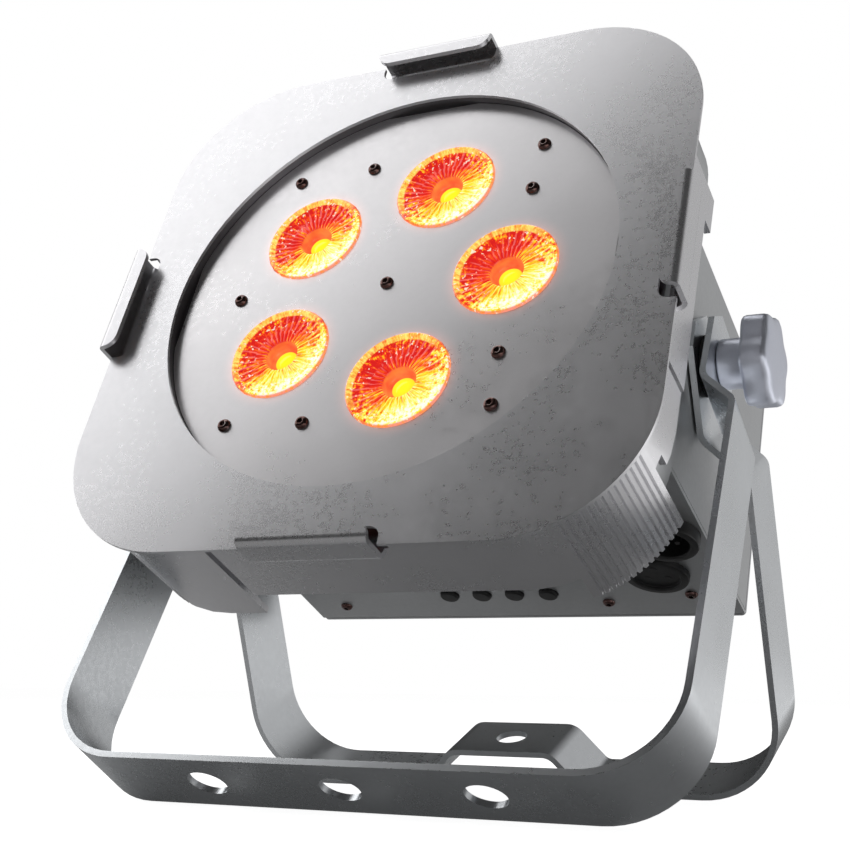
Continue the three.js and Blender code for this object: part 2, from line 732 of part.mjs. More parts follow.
const frontFrame = leaningGroup(FRONT_LEAN);
const rearFrame = leaningGroup(REAR_LEAN);
const headTilt = leaningGroup(HEAD_TILT);
const headFrame = new THREE.Group();
headFrame.position.set(0, -PIVOT_Y, -PIVOT_Z);
headTilt.add(headFrame);

const standing = new THREE.Group();
standing.add(frontFrame, rearFrame, headTilt);
const assembly = new THREE.Group();
assembly.name = "par_can_light";
assembly.add(standing);

function add(name, solid, material, frame) {
  const mesh = new THREE.Mesh(toGeometry(solid), new THREE.MeshStandardMaterial(materials[material]));
  mesh.name = name;
  frame.add(mesh);
}

add("front_plate", facePlate(), "pearl", headFrame);
add("recess_ring", recessRing(), "dark", headFrame);
add("lens_panel", lensPanel(), "pearl", headFrame);
lensCentres.forEach(([x, y], i) => add(`lens_${i + 1}`, lens(x, y), "lens", headFrame));
lensCentres.forEach(([x, y], i) => add(`led_emitter_${i + 1}`, emitter(x, y), "emitter", headFrame));
screwCentres.forEach(([x, y], i) => add(`face_screw_${i + 1}`, faceScrew(x, y), "screw", headFrame));
add("led_board", ledBoard(), "board", headFrame);
add("heat_sink", heatSink(), "aluminium", headFrame);
for (const [turns, side] of ["bottom", "right", "top", "left"].entries()) {
  add(`shell_${side}`, shellPiece(turns), "pearl", headFrame);
}
add("back_plate", backPlate(), "grey", headFrame);
add("rear_housing", boxShell(), "grey", headFrame);
add("control_panel", controlPanel(), "grey", headFrame);
add("rear_cover", rearCover(), "grey", headFrame);
add("display_window", displayWindow(), "black", headFrame);
buttonXs.forEach((x, i) => add(`menu_button_${i + 1}`, button(x), "black", headFrame));
add("data_out_socket", socket(DATA_OUT, 3), "black", headFrame);
add("data_in_socket", socket(DATA_IN, 6), "black", headFrame);
add("power_inlet", socket(POWER_IN, 4), "black", headFrame);
add("power_switch", rocker(), "black", headFrame);
panelScrews.forEach((place, i) => add(`panel_screw_${i + 1}`, panelScrew(place), "screw", headFrame));
add("battery_pack", box(...BATTERY_PACK), "battery", headFrame);
add("driver_board", box(...DRIVER_BOARD), "circuit", headFrame);
add("led_cable", cable(), "black", headFrame);
for (const [name, side] of [["left", -1], ["right", 1]]) {
  add(`pivot_bolt_${name}`, bolt(side), "screw", headFrame);
  add(`pivot_washer_${name}`, washer(side), "black", frontFrame);
  add(`knob_${name}`, knob(side), "knob", frontFrame);
}
const frontYoke = yoke({
  topX: FRONT_ARM_TOP,
  armX: FRONT_ARM_X,
  joggleFrom: FRONT_JOGGLE,
  length: FRONT_LENGTH,
  hat: false,
  holes: [[-58, 8.2], [0, 8.2], [58, 8.2]],
});
const rearYoke = yoke({
  topX: REAR_ARM_TOP,
  armX: REAR_ARM_X,
  joggleFrom: REAR_JOGGLE,
  length: REAR_LENGTH,
  hat: true,
  holes: [[-49, 5.2], [0, 7.2], [49, 5.2]],
});
add("front_yoke", frontYoke, "bar", frontFrame);
add("rear_yoke", rearYoke, "bar", rearFrame);

// The origin is the middle of the footprint, on the ground.
assembly.updateMatrixWorld(true);
const extent = new THREE.Box3().setFromObject(assembly, true);
const middle = extent.getCenter(new THREE.Vector3());
standing.position.set(-middle.x, -middle.y, -extent.min.z);
assembly.updateMatrixWorld(true);

export default assembly;
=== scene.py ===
"""The looks of the par can light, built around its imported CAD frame.

Lengths in this script are in millimetres and are turned into metres as meshes are made. A point of the
head is given in the head's own frame: x to the right, y up the face and z out of the face, with z = 0 on
the face plate. A point of the pivot stack is given from the middle of the pivot line, with x along it.
"""

import json
import math

import bmesh
import bpy
from mathutils import Matrix, Vector


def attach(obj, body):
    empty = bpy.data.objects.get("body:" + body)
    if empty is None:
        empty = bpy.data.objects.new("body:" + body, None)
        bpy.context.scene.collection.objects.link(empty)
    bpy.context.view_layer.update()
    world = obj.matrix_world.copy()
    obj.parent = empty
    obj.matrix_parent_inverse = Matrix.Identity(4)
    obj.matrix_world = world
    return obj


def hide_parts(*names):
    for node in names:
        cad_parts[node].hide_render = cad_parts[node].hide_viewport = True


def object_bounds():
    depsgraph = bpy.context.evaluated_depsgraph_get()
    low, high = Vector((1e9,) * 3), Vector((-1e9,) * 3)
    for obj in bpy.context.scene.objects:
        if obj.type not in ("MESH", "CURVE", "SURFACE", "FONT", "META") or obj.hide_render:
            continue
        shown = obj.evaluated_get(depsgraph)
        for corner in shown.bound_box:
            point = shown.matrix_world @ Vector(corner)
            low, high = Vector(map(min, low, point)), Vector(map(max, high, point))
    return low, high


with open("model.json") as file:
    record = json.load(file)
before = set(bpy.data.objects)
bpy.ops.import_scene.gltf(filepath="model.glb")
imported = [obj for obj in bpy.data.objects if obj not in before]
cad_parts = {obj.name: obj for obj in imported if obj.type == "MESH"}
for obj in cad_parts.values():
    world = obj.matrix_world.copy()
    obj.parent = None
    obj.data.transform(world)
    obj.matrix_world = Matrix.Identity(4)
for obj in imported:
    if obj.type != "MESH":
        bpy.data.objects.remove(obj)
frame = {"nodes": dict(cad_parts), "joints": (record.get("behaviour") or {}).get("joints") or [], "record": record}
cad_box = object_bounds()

MM = 0.001
JOINTS = {joint["name"]: joint for joint in frame["joints"]}

# ---------------------------------------------------------------- the object's own frames

HEAD_TILT = math.radians(24.4)
FACE_ABOVE_PIVOT = -4.2
FACE_BEFORE_PIVOT = 84.5
PIVOT = Vector(JOINTS["head_tilt"]["pos_m"])


def head_frame():
    """The matrix that takes a point of the head, in millimetres, to the row frame, in metres."""
    sine, cosine = math.sin(HEAD_TILT), math.cos(HEAD_TILT)
    up = Vector((0, sine, cosine))
    out = Vector((0, -cosine, sine))
    origin = PIVOT + (up * FACE_ABOVE_PIVOT + out * FACE_BEFORE_PIVOT) * MM
    across = Vector((1, 0, 0))
    matrix = Matrix((across * MM, up * MM, out * MM)).transposed().to_4x4()
    matrix.translation = origin
    return matrix


HEAD = head_frame()
STACK = Matrix.Translation(PIVOT) @ Matrix.Scale(MM, 4)

# ---------------------------------------------------------------- node helpers


class Nodes:
    """A short way to write a material's node tree."""

    def __init__(self, name):
        self.material = bpy.data.materials.new(name)
        self.material.use_nodes = True
        self.tree = self.material.node_tree
        self.tree.nodes.clear()
        self.output = self.tree.nodes.new("ShaderNodeOutputMaterial")

    def add(self, kind, inputs=None, **settings):
        node = self.tree.nodes.new(kind)
        for key, value in settings.items():
            setattr(node, key, value)
        for key, value in (inputs or {}).items():
            self.put(node.inputs[key], value)
        return node

    def put(self, socket, value):
        if isinstance(value, bpy.types.NodeSocket):
            self.tree.links.new(value, socket)
        else:
            socket.default_value = value

    def math(self, operation, *values):
        node = self.add("ShaderNodeMath", operation=operation)
        for socket, value in zip(node.inputs, values):
            self.put(socket, value)
        return node.outputs[0]

    def remap(self, value, low, high, to_low=0.0, to_high=1.0):
        names = ("Value", "From Min", "From Max", "To Min", "To Max")
        inputs = dict(zip(names, (value, low, high, to_low, to_high)))
        return self.add("ShaderNodeMapRange", inputs).outputs[0]

    def noise(self, where, scale, detail=3.0, roughness=0.55):
        inputs = {"Vector": where, "Scale": scale, "Detail": detail, "Roughness": roughness}
        return self.add("ShaderNodeTexNoise", inputs).outputs["Fac"]

    def mix(self, share, first, second):
        node = self.add("ShaderNodeMix", data_type="RGBA")
        self.put(node.inputs[0], share)
        self.put(node.inputs[6], first)
        self.put(node.inputs[7], second)
        return node.outputs[2]

    def length(self, x, y):
        squares = self.math("ADD", self.math("MULTIPLY", x, x), self.math("MULTIPLY", y, y))
        return self.math("SQRT", squares)

    def distance(self, where, point):
        node = self.add("ShaderNodeVectorMath", operation="DISTANCE")
        self.put(node.inputs[0], where)
        self.put(node.inputs[1], point)
        return node.outputs["Value"]

    def ramp(self, value, stops):
        node = self.add("ShaderNodeValToRGB", {"Fac": value})
        elements = node.color_ramp.elements
        while len(elements) < len(stops):
            elements.new(0.5)
        for element, (place, colour) in zip(elements, stops):
            element.position = place
            element.color = (*colour, 1)
        return node.outputs[0]

    def bump(self, height, distance, strength):
        inputs = {"Height": height, "Distance": distance * MM, "Strength": strength}
        return self.add("ShaderNodeBump", inputs).outputs[0]

    def finish(self, shader):
        self.tree.links.new(shader, self.output.inputs["Surface"])
        return self.material


def grey(value):
    return (value, value, value, 1)


def dimmed(colour, share):
    return tuple(channel * share for channel in colour[:3]) + (1,)


EDGE_RADIUS = 0.5
# Bare metal for worn edges, also used as a painted highlight along edges.
BARE_METAL_AND_GLINT = (0.75, 0.75, 0.74, 1)


def edge_mask(nodes, radius):
    """1 along edges and 0 on flats: how far the normal rounded over the radius leans from the true one."""
    rounded = nodes.add("ShaderNodeBevel", {"Radius": radius * MM}, samples=3).outputs[0]
    true = nodes.add("ShaderNodeNewGeometry").outputs["True Normal"]
    node = nodes.add("ShaderNodeVectorMath", operation="DOT_PRODUCT")
    nodes.put(node.inputs[0], rounded)
    nodes.put(node.inputs[1], true)
    return nodes.remap(node.outputs["Value"], 0.995, 0.9)


def finish_material(name, **values):
    nodes, shader = finish_nodes(name, **values)
    return nodes.finish(shader.outputs[0])


def finish_nodes(name, colour, metallic, roughness, grain=0.3, grain_size=0.7, mottle=0.04, wear_and_glint=0.0,
                 coat=0.0):
    """A moulded, painted or metal surface: mottled, with uneven roughness, fine grain and worn edges. The lighter
    bare metal on worn edges is partly painted highlight, standing in for glints of light along edges.
    """
    nodes = Nodes(name)
    where = nodes.add("ShaderNodeTexCoord").outputs["Object"]
    clouds = nodes.noise(where, 22.0, 4.0)
    specks = nodes.noise(where, 420.0, 2.0)
    grains = nodes.noise(where, 1000.0 / grain_size, 2.0)
    base = nodes.mix(nodes.remap(clouds, 0.3, 0.7), dimmed(colour, 1 - 2 * mottle), colour)
    base = nodes.mix(nodes.remap(specks, 0.35, 0.65, 0, mottle * 2), base, dimmed(colour, 0.7))
    rough = nodes.remap(clouds, 0.3, 0.7, roughness * 0.9, roughness * 1.1)
    rough = nodes.math("ADD", rough, nodes.remap(specks, 0.3, 0.7, -0.025, 0.025))
    # Worn edges, partly painted highlight: lighter bare metal in patches along edges, which also stands in for
    # glints of light there.
    if wear_and_glint:
        patches = nodes.remap(nodes.noise(where, 260.0, 3.0), 0.5, 0.62, 0, wear_and_glint)
        edge_wear_and_glint = nodes.math("MULTIPLY", edge_mask(nodes, EDGE_RADIUS), patches)
        base = nodes.mix(edge_wear_and_glint, base, BARE_METAL_AND_GLINT)
        rough = nodes.math("SUBTRACT", rough, nodes.math("MULTIPLY", edge_wear_and_glint, 0.12))
    inputs = {
        "Base Color": base,
        "Metallic": metallic,
        "Roughness": rough,
        "Coat Weight": coat,
        "Coat Roughness": 0.25,
        "Normal": nodes.bump(grains, 0.02, grain),
    }
    return nodes, nodes.add("ShaderNodeBsdfPrincipled", inputs)


# ---------------------------------------------------------------- materials by slot

SLOT_OF_NODE = {entry["node"]: entry["material_slot"] for entry in frame["record"]["subparts"]}

FINISHES = {
    "pearl_paint": dict(
        colour=(0.84, 0.835, 0.855, 1), metallic=0.9, roughness=0.29, grain=0.02, grain_size=2.4, mottle=0.02,
    ),
    "panel_paint": dict(
        colour=(0.89, 0.875, 0.89, 1), metallic=0.9, roughness=0.31, grain=0.02, grain_size=2.4, mottle=0.02,
    ),
    # The yoke's worn edges are partly real chips and partly painted highlight along its edges.
    "yoke_paint": dict(
        colour=(0.86, 0.885, 0.91, 1), metallic=1.0, roughness=0.29, grain=0.04, grain_size=2.4, wear_and_glint=0.8,
    ),
    "grey_paint": dict(
        colour=(0.62, 0.63, 0.64, 1), metallic=0.8, roughness=0.4, grain=0.06, grain_size=2.4, wear_and_glint=0.6,
    ),
    "dark_paint": dict(
        colour=(0.20, 0.19, 0.20, 1), metallic=0.7, roughness=0.36, grain=0.06, grain_size=2.4,
    ),
    "black_plastic": dict(colour=grey(0.018), metallic=0.0, roughness=0.42, grain=0.35, mottle=0.1),
    # The worn edges of the screw heads serve mostly as painted glints of light.
    "blackened_steel": dict(
        colour=(0.16, 0.09, 0.08, 1), metallic=1.0, roughness=0.2, grain=0.1, wear_and_glint=0.7,
    ),
    "bare_aluminium": dict(colour=(0.7, 0.71, 0.72, 1), metallic=1.0, roughness=0.36, grain=0.2, wear_and_glint=0.2),
    "grey_plastic": dict(colour=(0.86, 0.89, 1.0, 1), metallic=0.7, roughness=0.36, grain=0.3, mottle=0.03),
    "fibre_washer": dict(colour=grey(0.03), metallic=0.0, roughness=0.75, grain=0.6, mottle=0.12),
    "cable_jacket": dict(colour=grey(0.03), metallic=0.0, roughness=0.6, grain=0.3),
    "circuit_board": dict(
        colour=(0.05, 0.22, 0.11, 1), metallic=0.0, roughness=0.35, grain=0.2, mottle=0.1,
    ),
    "white_board": dict(colour=grey(0.75), metallic=0.0, roughness=0.4, grain=0.2),
    "battery_wrap": dict(colour=(0.06, 0.18, 0.42, 1), metallic=0.0, roughness=0.25, grain=0.1, coat=0.5),
    "display_window": dict(
        colour=(0.012, 0.016, 0.02, 1), metallic=0.0, roughness=0.08, grain=0.02, coat=1.0,
    ),
    "led_phosphor": dict(colour=(0.85, 0.7, 0.15, 1), metallic=0.0, roughness=0.4, grain=0.2),
    "clear_lens": dict(colour=(0.8, 0.83, 0.85, 1), metallic=0.0, roughness=0.12, grain=0.02),
}
MATERIALS = {slot: finish_material(slot, **values) for slot, values in FINISHES.items()}

# ---------------------------------------------------------------- softening by modifiers


def smooth_by_angle_group(degrees):
    """Smooth shading, broken at edges sharper than the angle, as a modifier so that no mesh is edited."""
    group = bpy.data.node_groups.new("smooth_by_angle", "GeometryNodeTree")
    group.interface.new_socket("Geometry", in_out="INPUT", socket_type="NodeSocketGeometry")
    group.interface.new_socket("Geometry", in_out="OUTPUT", socket_type="NodeSocketGeometry")
    start = group.nodes.new("NodeGroupInput")
    end = group.nodes.new("NodeGroupOutput")
    faces = group.nodes.new("GeometryNodeSetShadeSmooth")
    edges = group.nodes.new("GeometryNodeSetShadeSmooth")
    edges.domain = "EDGE"
    edges.inputs["Shade Smooth"].default_value = False
    angle = group.nodes.new("GeometryNodeInputMeshEdgeAngle")
    compare = group.nodes.new("FunctionNodeCompare")
    compare.data_type = "FLOAT"
    compare.operation = "GREATER_THAN"
    compare.inputs[1].default_value = math.radians(degrees)
    group.links.new(start.outputs[0], faces.inputs["Geometry"])
    group.links.new(faces.outputs[0], edges.inputs["Geometry"])
    group.links.new(angle.outputs["Unsigned Angle"], compare.inputs[0])
    group.links.new(compare.outputs[0], edges.inputs["Selection"])
    group.links.new(edges.outputs[0], end.inputs[0])
    return group


SMOOTHING = smooth_by_angle_group(32)


def soften(piece, width=0.0):
    """Rounds the piece's sharp edges, in millimetres, and shades it smoothly."""
    weld = piece.modifiers.new("weld", "WELD")
    weld.merge_threshold = 0.002 * MM
    if width:
        bevel = piece.modifiers.new("round_edges", "BEVEL")
        bevel.width = width * MM
        bevel.segments = 2
        bevel.limit_method = "ANGLE"
        bevel.angle_limit = math.radians(38)
        bevel.use_clamp_overlap = True
    smooth = piece.modifiers.new("smooth", "NODES")
    smooth.node_group = SMOOTHING
    weighted = piece.modifiers.new("even_normals", "WEIGHTED_NORMAL")
    weighted.mode = "FACE_AREA"
    weighted.weight = 100
    weighted.keep_sharp = True


# ---------------------------------------------------------------- mesh pieces


class Shape:
    """A mesh that is drawn in millimetres of one of the object's own frames and kept in the row frame."""

    def __init__(self, matrix):
        self.mesh = bmesh.new()
        self.matrix = matrix
        self.place = self.mesh.verts.layers.float_vector.new("place")

    def point(self, where, place):
        vertex = self.mesh.verts.new(self.matrix @ Vector(where))
        vertex[self.place] = place
        return vertex

    def join(self, first, second):
        """Faces between two rings. A ring of one point closes the surface as a fan."""
        count = max(len(first), len(second))
        for k in range(count):
            following = (k + 1) % count
            if len(first) == 1:
                self.mesh.faces.new((first[0], second[following], second[k]))
            elif len(second) == 1:
                self.mesh.faces.new((first[k], first[following], second[0]))
            else:
                self.mesh.faces.new((first[k], first[following], second[following], second[k]))

    def revolve(self, profile, segments, put, bend=None):
        """Turns (radius, height) pairs. put places a point, and bend may change both with the angle."""
        rings = []
        for radius, height in profile:
            if radius == 0:
                rings.append([self.point(put(0, 0, height), (0, 0, height))])
                continue
            ring = []
            for k in range(segments):
                angle = 2 * math.pi * k / segments
                out, up = (radius, height) if bend is None else bend(radius, height, angle)
                x, y = out * math.cos(angle), out * math.sin(angle)
                ring.append(self.point(put(x, y, up), (x, y, up)))
            rings.append(ring)
        for first, second in zip(rings, rings[1:]):
            self.join(first, second)

    def finish(self, name, material, slot, body, replaces):
        bmesh.ops.recalc_face_normals(self.mesh, faces=self.mesh.faces)
        mesh = bpy.data.meshes.new(name)
        self.mesh.to_mesh(mesh)
        self.mesh.free()
        piece = bpy.data.objects.new(name, mesh)
        bpy.context.scene.collection.objects.link(piece)
        mesh.materials.append(material)
        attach(piece, body)
        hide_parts(*replaces)
        soften(piece)


def smoothstep(low, high, value):
    share = min(max((value - low) / (high - low), 0.0), 1.0)
    return share * share * (3 - 2 * share)


def on_face(x, y, z):
    """Places a turned shape on the face, at (x, y), with its height along z from the given level."""
    return lambda a, b, height: (x + a, y + b, z + height)


def under_panel(x, z):
    """Places a turned shape on the control panel, with its height pointing down out of it."""
    return lambda a, b, height: (x + a, -BOX_HALF_Y - height, z + b)


def along_pivot(side):
    """Places a turned shape on the pivot line, with its height along it, outwards."""
    return lambda a, b, height: (side * height, a, b)


def ring_of_points(radius, angles):
    """Points of the face on a circle round its middle, at angles in degrees."""
    turns = [math.radians(angle) for angle in angles]
    return [(radius * math.cos(turn), radius * math.sin(turn)) for turn in turns]


# ---------------------------------------------------------------- lenses

LENS_ANGLES = [72, 0, -72, -144, 144]
LENS_RING = 52
LENS_RADIUS = 22
LENS_TOP = -4.0
PANEL_LEVEL = -5.0
BORE_RADIUS = 7.1
DOME_RADIUS = 4.8
RIB_COUNT = 36
RIB_HEIGHT = 0.42
INNER_RIBS_END = 12.4
DISH_END = 19.6
BORE_FLOOR = -7.3
LIT_ABOVE = -2.6
LENS_PROFILE = [
    (0, -5.6), (2.4, -5.8), (4.0, -6.4), (DOME_RADIUS, -7.1),
    (5.1, BORE_FLOOR), (6.7, BORE_FLOOR), (7.0, -6.9), (BORE_RADIUS, -2.9), (7.4, -2.5),
    (8.4, -2.45), (9.6, -2.4), (10.9, -2.35), (12.1, -2.25), (12.7, -2.3),
    (14.2, -2.15), (15.8, -1.95), (17.4, -1.7), (18.8, -1.35), (DISH_END, -1.1),
    (20.0, -0.5), (20.4, -0.12), (21.0, 0), (21.6, -0.12), (LENS_RADIUS, -0.5),
    (LENS_RADIUS, -3.5), (19, -6), (9.5, -16.5), (0, -16.5),
]
LENS_CENTRES = ring_of_points(LENS_RING, LENS_ANGLES)
# The side of each lens towards which its light looks brightest, in the head frame.
BRIGHT_X, BRIGHT_Y = 0.64, -0.77
# How far the panel's painted glow of spilled lens light reaches beyond each lens, in millimetres.
GLOW_REACH = 7


def lens_ribs(radius, height, angle):
    rise = RIB_HEIGHT * smoothstep(7.2, 8.8, radius) * (1 - smoothstep(18.6, DISH_END, radius))
    turn = 0 if radius < INNER_RIBS_END else math.pi / 4
    return radius, height + rise * abs(math.sin(RIB_COUNT / 2 * angle + turn))


class LensNodes(Nodes):
    """The lit lens's node tree, with the places and noises that its zones share."""

    def __init__(self, name):
        super().__init__(name)
        self.where = self.add("ShaderNodeTexCoord").outputs["Object"]
        place = self.add("ShaderNodeAttribute", attribute_name="place").outputs["Vector"]
        x, y, self.height = self.add("ShaderNodeSeparateXYZ", {"Vector": place}).outputs
        self.radius = self.length(x, y)
        self.angle = self.math("ARCTAN2", y, x)
        along_x = self.math("MULTIPLY", x, BRIGHT_X)
        along_y = self.math("MULTIPLY", y, BRIGHT_Y)
        self.towards = self.math("DIVIDE", self.math("ADD", along_x, along_y), LENS_RADIUS)
        spokes = self.add("ShaderNodeCombineXYZ", {
            "X": self.math("MULTIPLY", self.math("COSINE", self.angle), 9.0),
            "Y": self.math("MULTIPLY", self.math("SINE", self.angle), 9.0),
            "Z": self.math("MULTIPLY", self.radius, 0.10),
        }).outputs[0]
        self.streaks = self.noise(spokes, 1.6, 3.0, 0.75)
        self.flecks = self.noise(self.where, 560.0, 3.0, 0.7)
        self.patches = self.noise(self.where, 160.0, 2.0)

    def dish(self):
        """The ribbed dish: red on one side to near white on the other, ribbed inside and flecked outside."""
        ribs = self.math("ABSOLUTE", self.math("SINE", self.math("MULTIPLY", self.angle, RIB_COUNT / 2)))
        inner = self.remap(self.radius, 8.0, INNER_RIBS_END, 1.0, 0.0)
        outer = self.remap(self.radius, 12.0, 17.0)
        value = self.remap(self.towards, -0.3, 0.85, 0.08, 0.9)
        value = self.math("ADD", value, self.remap(self.streaks, 0.35, 0.65, -0.2, 0.2))
        value = self.math("ADD", value, self.remap(self.patches, 0.3, 0.7, -0.13, 0.13))
        ribbed = self.math("MULTIPLY", inner, self.remap(ribs, 0.0, 1.0, -0.13, 0.16))
        flecked = self.math("MULTIPLY", outer, self.remap(self.flecks, 0.38, 0.62, -0.26, 0.3))
        value = self.math("ADD", self.math("ADD", value, ribbed), flecked)
        return self.ramp(value, [
            (0.0, (0.72, 0.012, 0.012)),
            (0.14, (0.88, 0.025, 0.01)),
            (0.27, (0.98, 0.09, 0.01)),
            (0.38, (1.0, 0.30, 0.015)),
            (0.49, (1.0, 0.62, 0.02)),
            (0.62, (1.0, 0.90, 0.04)),
            (0.80, (1.0, 0.98, 0.35)),
            (1.0, (1.0, 1.0, 0.85)),
        ])

    def lip(self, inside):
        """The yellow lip on the red side, and the red line round the rim."""
        flecked = self.remap(self.flecks, 0.3, 0.7, -0.3, 0.3)
        glints = self.math("ADD", self.remap(self.streaks, 0.3, 0.7), flecked)
        band = self.ramp(glints, [
            (0.05, (0.95, 0.16, 0.03)),
            (0.4, (1.0, 0.55, 0.07)),
            (0.8, (1.0, 0.86, 0.2)),
        ])
        red_side = self.remap(self.towards, 0.1, -0.4, 0.0, 1.0)
        share = self.math("MULTIPLY", self.remap(self.radius, 18.9, 19.6), red_side)
        colour = self.mix(share, inside, band)
        return self.mix(self.remap(self.radius, 21.3, 21.8, 0.0, 0.8), colour, (0.95, 0.14, 0.06, 1))

    def bore(self, outside):
        """The orange floor of the bore and the yellow dome in it, inside the given colour."""
        shade = self.remap(self.patches, 0.3, 0.7)
        floor = self.mix(shade, (0.86, 0.09, 0.03, 1), (0.96, 0.22, 0.05, 1))
        rim = self.remap(self.radius, 2.5, DOME_RADIUS)
        dome = self.mix(rim, (1.0, 1.0, 0.02, 1), (1.0, 0.82, 0.03, 1))
        bore = self.mix(self.remap(self.radius, DOME_RADIUS - 0.1, DOME_RADIUS + 0.3), dome, floor)
        return self.mix(self.remap(self.radius, BORE_RADIUS - 0.05, BORE_RADIUS + 0.3), bore, outside)

    def sparks(self, colour):
        """Small near-white sparks, towards the rim."""
        sparks = self.math("GREATER_THAN", self.noise(self.where, 620.0, 1.0), 0.67)
        sparks = self.math("MULTIPLY", sparks, self.remap(self.radius, 9.0, 15.0))
        return self.mix(self.math("MULTIPLY", sparks, 0.8), colour, (1.0, 0.95, 0.75, 1))

    def lit(self):
        """1 on the front of the lens, bore and all, and 0 on what is behind the panel."""
        on_top = self.math("GREATER_THAN", self.height, LIT_ABOVE)
        in_bore = self.math("LESS_THAN", self.radius, BORE_RADIUS + 0.5)
        front = self.math("MAXIMUM", on_top, in_bore)
        return self.math("MULTIPLY", front, self.math("GREATER_THAN", self.height, BORE_FLOOR - 0.5))


def lens_material():
    nodes = LensNodes("lit_lens")
    inputs = {
        "Base Color": (0.12, 0.02, 0.015, 1),
        "Roughness": 0.1,
        "Emission Color": nodes.sparks(nodes.bore(nodes.lip(nodes.dish()))),
        "Emission Strength": nodes.math("MULTIPLY", nodes.lit(), 0.98),
        "Coat Weight": 0.15,
        "Coat Roughness": 0.05,
        "Normal": nodes.bump(nodes.flecks, 0.05, 0.5),
    }
    return nodes.finish(nodes.add("ShaderNodeBsdfPrincipled", inputs).outputs[0])


def panel_material():
    """The panel's paint with a painted glow close around each lit lens: faint warm emission standing in for lens
    light spilling onto the panel.
    """
    nodes, shader = finish_nodes("lens_panel_paint_and_spill_glow", **FINISHES["panel_paint"])
    where = nodes.add("ShaderNodeTexCoord").outputs["Object"]
    nearest = 1.0
    for x, y in LENS_CENTRES:
        away = nodes.distance(where, HEAD @ Vector((x, y, PANEL_LEVEL)))
        nearest = nodes.math("MINIMUM", away, nearest)
    glow = nodes.remap(nearest, LENS_RADIUS * MM, (LENS_RADIUS + GLOW_REACH) * MM, 1.0, 0.0)
    glow = nodes.math("POWER", glow, 2.5)
    # Painted light: the panel, which is no lamp, glows faintly warm near each lens for the lens light that spills
    # onto it.
    nodes.put(shader.inputs["Emission Color"], (1.0, 0.3, 0.22, 1))
    nodes.put(shader.inputs["Emission Strength"], nodes.math("MULTIPLY", glow, 0.2))
    return nodes.finish(shader.outputs[0])


def make_lenses():
    glow = lens_material()
    for number, (x, y) in enumerate(LENS_CENTRES, 1):
        shape = Shape(HEAD)
        shape.revolve(LENS_PROFILE, RIB_COUNT * 6, on_face(x, y, LENS_TOP), lens_ribs)
        shape.finish(f"lens_optic_{number}", glow, "clear_lens", "head", [f"lens_{number}"])


# ---------------------------------------------------------------- screws

SCREW_RING = 70
SCREW_ANGLES = [108, 36, -36, -108, 180]
CORNER_SCREWS = [(-58, 65), (58, 65), (-58, -65), (58, -65)]
FACE_SCREWS = ring_of_points(SCREW_RING, SCREW_ANGLES) + CORNER_SCREWS + [(0, 0)]
PANEL_SCREWS = [(-87.8, -172.5), (48.4, -172.3), (88.4, -166)]
BOX_HALF_Y = 58
HEX_FLAT = 0.95
SCREW_LIFT = 0.15
SCREW_SEGMENTS = 36
SCREW_PROFILE = [
    (0, 0.5), (0.5, 0.5), (HEX_FLAT, 0.62), (1.05, 1.62), (1.35, 1.7), (1.9, 1.58), (2.4, 1.2), (2.75, 0.65),
    (2.9, 0.1), (2.8, 0), (1.4, 0), (1.4, -7), (0, -7),
]


def hex_socket(radius, height, angle):
    """Makes the rings of the socket six-sided and leaves the rest round."""
    if radius > 1.1:
        return radius, height
    return radius / math.cos(angle % (math.pi / 3) - math.pi / 6), height


def make_screw(name, number, put):
    shape = Shape(HEAD)
    shape.revolve(SCREW_PROFILE, SCREW_SEGMENTS, put, hex_socket)
    steel = MATERIALS["blackened_steel"]
    shape.finish(f"{name}_head_{number}", steel, "blackened_steel", "head", [f"{name}_{number}"])


def make_screws():
    for number, (x, y) in enumerate(FACE_SCREWS, 1):
        make_screw("face_screw", number, on_face(x, y, PANEL_LEVEL + SCREW_LIFT))
    for number, (x, z) in enumerate(PANEL_SCREWS, 1):
        make_screw("panel_screw", number, under_panel(x, z))


# ---------------------------------------------------------------- knobs

KNOB_START = 117.3
COLLAR_END = KNOB_START + 11
KNOB_END = COLLAR_END + 12
KNOB_RADIUS = 20.3
KNOB_LOBES = 6
LOBE_DEPTH = 2.6
LOBE_TURN = math.radians(6)
COLLAR_RADIUS = 10.5
KNOB_PROFILE = [
    (0, KNOB_START), (9.9, KNOB_START), (COLLAR_RADIUS, KNOB_START + 0.6),
    (COLLAR_RADIUS, COLLAR_END - 1.2), (11.2, COLLAR_END - 0.2),
    (17.6, COLLAR_END), (19.3, COLLAR_END + 0.25), (20.0, COLLAR_END + 0.9), (KNOB_RADIUS, COLLAR_END + 2.0),
    (KNOB_RADIUS, KNOB_END - 3.2), (19.9, KNOB_END - 1.7), (19.1, KNOB_END - 0.8), (17.6, KNOB_END - 0.3),
    (15.0, KNOB_END), (11.0, KNOB_END + 0.25), (6.0, KNOB_END + 0.4), (2.0, KNOB_END + 0.45),
    (0, KNOB_END + 0.45),
]


def make_knob(name, side):
    def lobes(radius, height, angle):
        share = smoothstep(COLLAR_RADIUS + 1, KNOB_RADIUS - 2.5, radius)
        depth = LOBE_DEPTH * share * (0.5 - 0.5 * math.cos(KNOB_LOBES * (angle - LOBE_TURN)))
        return radius - depth, height

    shape = Shape(STACK)
    shape.revolve(KNOB_PROFILE, KNOB_LOBES * 24, along_pivot(side), lobes)
    shape.finish(f"{name}_grip", MATERIALS["grey_plastic"], "grey_plastic", name, [name])


# ---------------------------------------------------------------- sockets

SOCKETS = {
    "data_out_socket": dict(at=(78.5, -146), stand=3, pins=False),
    "data_in_socket": dict(at=(92, -113), stand=6, pins=True),
    "power_inlet": dict(at=(-80, -115), stand=4, pins=True),
}
FLANGE_RADIUS = 14.3
BODY_RADIUS = 12
CAVITY_RADIUS = 10.4
CONTACT_RING = 5.2
CONTACT_ANGLES = [90, 210, 330]


